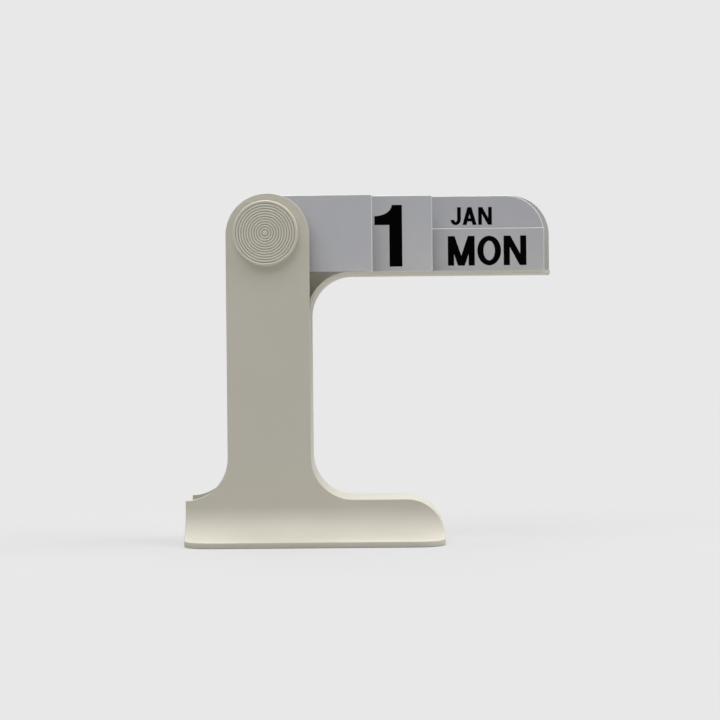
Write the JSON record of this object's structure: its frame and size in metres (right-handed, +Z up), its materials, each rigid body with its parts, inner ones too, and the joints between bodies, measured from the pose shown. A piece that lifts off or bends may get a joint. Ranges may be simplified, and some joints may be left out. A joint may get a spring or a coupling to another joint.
{
  "type": "perpetual desk calendar",
  "caption": "C-shaped free-standing desk calendar: number, weekday and month cards hang on one pin in the column and swing over onto a ledge to show the date.",
  "frame": {"origin": "middle of the overall box, on the surface it stands on", "axes": "+X to the right along the arm as the reader sees it, +Y to the back, +Z up"},
  "size_m": [0.173, 0.0876, 0.1636],
  "materials": {
    "abs_shell": "moulded ABS, warm off-white, fine satin texture",
    "abs_cap": "turned-look moulded ABS cap, same off-white",
    "pin_steel": "drawn steel rod",
    "card_pvc": "printed PVC sheet, light grey, satin"
  },
  "bodies": {
    "stand": {"rear_shell": "abs_shell", "front_plate": "abs_shell", "pivot_pin": "pin_steel", "front_cap": "abs_cap", "rear_cap": "abs_cap"},
    "tens_card_3": {"tens_card_3": "card_pvc"},
    "tens_card_2": {"tens_card_2": "card_pvc"},
    "tens_card_1": {"tens_card_1": "card_pvc"},
    "tens_card_blank": {"tens_card_blank": "card_pvc"},
    "units_card_9": {"units_card_9": "card_pvc"},
    "units_card_8": {"units_card_8": "card_pvc"},
    "units_card_7": {"units_card_7": "card_pvc"},
    "units_card_6": {"units_card_6": "card_pvc"},
    "units_card_5": {"units_card_5": "card_pvc"},
    "units_card_4": {"units_card_4": "card_pvc"},
    "units_card_3": {"units_card_3": "card_pvc"},
    "units_card_2": {"units_card_2": "card_pvc"},
    "units_card_1": {"units_card_1": "card_pvc"},
    "units_card_0": {"units_card_0": "card_pvc"},
    "weekday_card_7": {"weekday_card_7": "card_pvc"},
    "weekday_card_6": {"weekday_card_6": "card_pvc"},
    "weekday_card_5": {"weekday_card_5": "card_pvc"},
    "weekday_card_4": {"weekday_card_4": "card_pvc"},
    "weekday_card_3": {"weekday_card_3": "card_pvc"},
    "weekday_card_2": {"weekday_card_2": "card_pvc"},
    "weekday_card_1": {"weekday_card_1": "card_pvc"},
    "month_card_01": {"month_card_01": "card_pvc"},
    "month_card_02": {"month_card_02": "card_pvc"},
    "month_card_03": {"month_card_03": "card_pvc"},
    "month_card_04": {"month_card_04": "card_pvc"},
    "month_card_05": {"month_card_05": "card_pvc"},
    "month_card_06": {"month_card_06": "card_pvc"},
    "month_card_07": {"month_card_07": "card_pvc"},
    "month_card_08": {"month_card_08": "card_pvc"},
    "month_card_09": {"month_card_09": "card_pvc"},
    "month_card_10": {"month_card_10": "card_pvc"},
    "month_card_11": {"month_card_11": "card_pvc"},
    "month_card_12": {"month_card_12": "card_pvc"}
  },
  "joints": [
    {"name": "turn_tens_card_3", "type": "hinge", "parent": "stand", "child": "tens_card_3", "pos_m": [-0.04802, 0, 0.14497], "axis": [0, -1, 0], "range_deg": [-270, 0]},
    {"name": "turn_tens_card_2", "type": "hinge", "parent": "stand", "child": "tens_card_2", "pos_m": [-0.04802, 0, 0.14497], "axis": [0, -1, 0], "range_deg": [-270, 0]},
    {"name": "turn_tens_card_1", "type": "hinge", "parent": "stand", "child": "tens_card_1", "pos_m": [-0.04802, 0, 0.14497], "axis": [0, -1, 0], "range_deg": [-270, 0]},
    {"name": "turn_tens_card_blank", "type": "hinge", "parent": "stand", "child": "tens_card_blank", "pos_m": [-0.04802, 0, 0.14497], "axis": [0, -1, 0], "range_deg": [0, 270]},
    {"name": "turn_units_card_9", "type": "hinge", "parent": "stand", "child": "units_card_9", "pos_m": [-0.04802, 0, 0.14497], "axis": [0, -1, 0], "range_deg": [-270, 0]},
    {"name": "turn_units_card_8", "type": "hinge", "parent": "stand", "child": "units_card_8", "pos_m": [-0.04802, 0, 0.14497], "axis": [0, -1, 0], "range_deg": [-270, 0]},
    {"name": "turn_units_card_7", "type": "hinge", "parent": "stand", "child": "units_card_7", "pos_m": [-0.04802, 0, 0.14497], "axis": [0, -1, 0], "range_deg": [-270, 0]},
    {"name": "turn_units_card_6", "type": "hinge", "parent": "stand", "child": "units_card_6", "pos_m": [-0.04802, 0, 0.14497], "axis": [0, -1, 0], "range_deg": [-270, 0]},
    {"name": "turn_units_card_5", "type": "hinge", "parent": "stand", "child": "units_card_5", "pos_m": [-0.04802, 0, 0.14497], "axis": [0, -1, 0], "range_deg": [-270, 0]},
    {"name": "turn_units_card_4", "type": "hinge", "parent": "stand", "child": "units_card_4", "pos_m": [-0.04802, 0, 0.14497], "axis": [0, -1, 0], "range_deg": [-270, 0]},
    {"name": "turn_units_card_3", "type": "hinge", "parent": "stand", "child": "units_card_3", "pos_m": [-0.04802, 0, 0.14497], "axis": [0, -1, 0], "range_deg": [-270, 0]},
    {"name": "turn_units_card_2", "type": "hinge", "parent": "stand", "child": "units_card_2", "pos_m": [-0.04802, 0, 0.14497], "axis": [0, -1, 0], "range_deg": [-270, 0]},
    {"name": "turn_units_card_1", "type": "hinge", "parent": "stand", "child": "units_card_1", "pos_m": [-0.04802, 0, 0.14497], "axis": [0, -1, 0], "range_deg": [0, 270]},
    {"name": "turn_units_card_0", "type": "hinge", "parent": "stand", "child": "units_card_0", "pos_m": [-0.04802, 0, 0.14497], "axis": [0, -1, 0], "range_deg": [-270, 0]},
    {"name": "turn_weekday_card_7", "type": "hinge", "parent": "stand", "child": "weekday_card_7", "pos_m": [-0.04802, 0, 0.14497], "axis": [0, -1, 0], "range_deg": [-270, 0]},
    {"name": "turn_weekday_card_6", "type": "hinge", "parent": "stand", "child": "weekday_card_6", "pos_m": [-0.04802, 0, 0.14497], "axis": [0, -1, 0], "range_deg": [-270, 0]},
    {"name": "turn_weekday_card_5", "type": "hinge", "parent": "stand", "child": "weekday_card_5", "pos_m": [-0.04802, 0, 0.14497], "axis": [0, -1, 0], "range_deg": [-270, 0]},
    {"name": "turn_weekday_card_4", "type": "hinge", "parent": "stand", "child": "weekday_card_4", "pos_m": [-0.04802, 0, 0.14497], "axis": [0, -1, 0], "range_deg": [-270, 0]},
    {"name": "turn_weekday_card_3", "type": "hinge", "parent": "stand", "child": "weekday_card_3", "pos_m": [-0.04802, 0, 0.14497], "axis": [0, -1, 0], "range_deg": [-270, 0]},
    {"name": "turn_weekday_card_2", "type": "hinge", "parent": "stand", "child": "weekday_card_2", "pos_m": [-0.04802, 0, 0.14497], "axis": [0, -1, 0], "range_deg": [-270, 0]},
    {"name": "turn_weekday_card_1", "type": "hinge", "parent": "stand", "child": "weekday_card_1", "pos_m": [-0.04802, 0, 0.14497], "axis": [0, -1, 0], "range_deg": [0, 270]},
    {"name": "turn_month_card_01", "type": "hinge", "parent": "stand", "child": "month_card_01", "pos_m": [-0.04802, 0, 0.14497], "axis": [0, -1, 0], "range_deg": [0, 270]},
    {"name": "turn_month_card_02", "type": "hinge", "parent": "stand", "child": "month_card_02", "pos_m": [-0.04802, 0, 0.14497], "axis": [0, -1, 0], "range_deg": [-270, 0]},
    {"name": "turn_month_card_03", "type": "hinge", "parent": "stand", "child": "month_card_03", "pos_m": [-0.04802, 0, 0.14497], "axis": [0, -1, 0], "range_deg": [-270, 0]},
    {"name": "turn_month_card_04", "type": "hinge", "parent": "stand", "child": "month_card_04", "pos_m": [-0.04802, 0, 0.14497], "axis": [0, -1, 0], "range_deg": [-270, 0]},
    {"name": "turn_month_card_05", "type": "hinge", "parent": "stand", "child": "month_card_05", "pos_m": [-0.04802, 0, 0.14497], "axis": [0, -1, 0], "range_deg": [-270, 0]},
    {"name": "turn_month_card_06", "type": "hinge", "parent": "stand", "child": "month_card_06", "pos_m": [-0.04802, 0, 0.14497], "axis": [0, -1, 0], "range_deg": [-270, 0]},
    {"name": "turn_month_card_07", "type": "hinge", "parent": "stand", "child": "month_card_07", "pos_m": [-0.04802, 0, 0.14497], "axis": [0, -1, 0], "range_deg": [-270, 0]},
    {"name": "turn_month_card_08", "type": "hinge", "parent": "stand", "child": "month_card_08", "pos_m": [-0.04802, 0, 0.14497], "axis": [0, -1, 0], "range_deg": [-270, 0]},
    {"name": "turn_month_card_09", "type": "hinge", "parent": "stand", "child": "month_card_09", "pos_m": [-0.04802, 0, 0.14497], "axis": [0, -1, 0], "range_deg": [-270, 0]},
    {"name": "turn_month_card_10", "type": "hinge", "parent": "stand", "child": "month_card_10", "pos_m": [-0.04802, 0, 0.14497], "axis": [0, -1, 0], "range_deg": [-270, 0]},
    {"name": "turn_month_card_11", "type": "hinge", "parent": "stand", "child": "month_card_11", "pos_m": [-0.04802, 0, 0.14497], "axis": [0, -1, 0], "range_deg": [-270, 0]},
    {"name": "turn_month_card_12", "type": "hinge", "parent": "stand", "child": "month_card_12", "pos_m": [-0.04802, 0, 0.14497], "axis": [0, -1, 0], "range_deg": [-270, 0]}
  ]
}
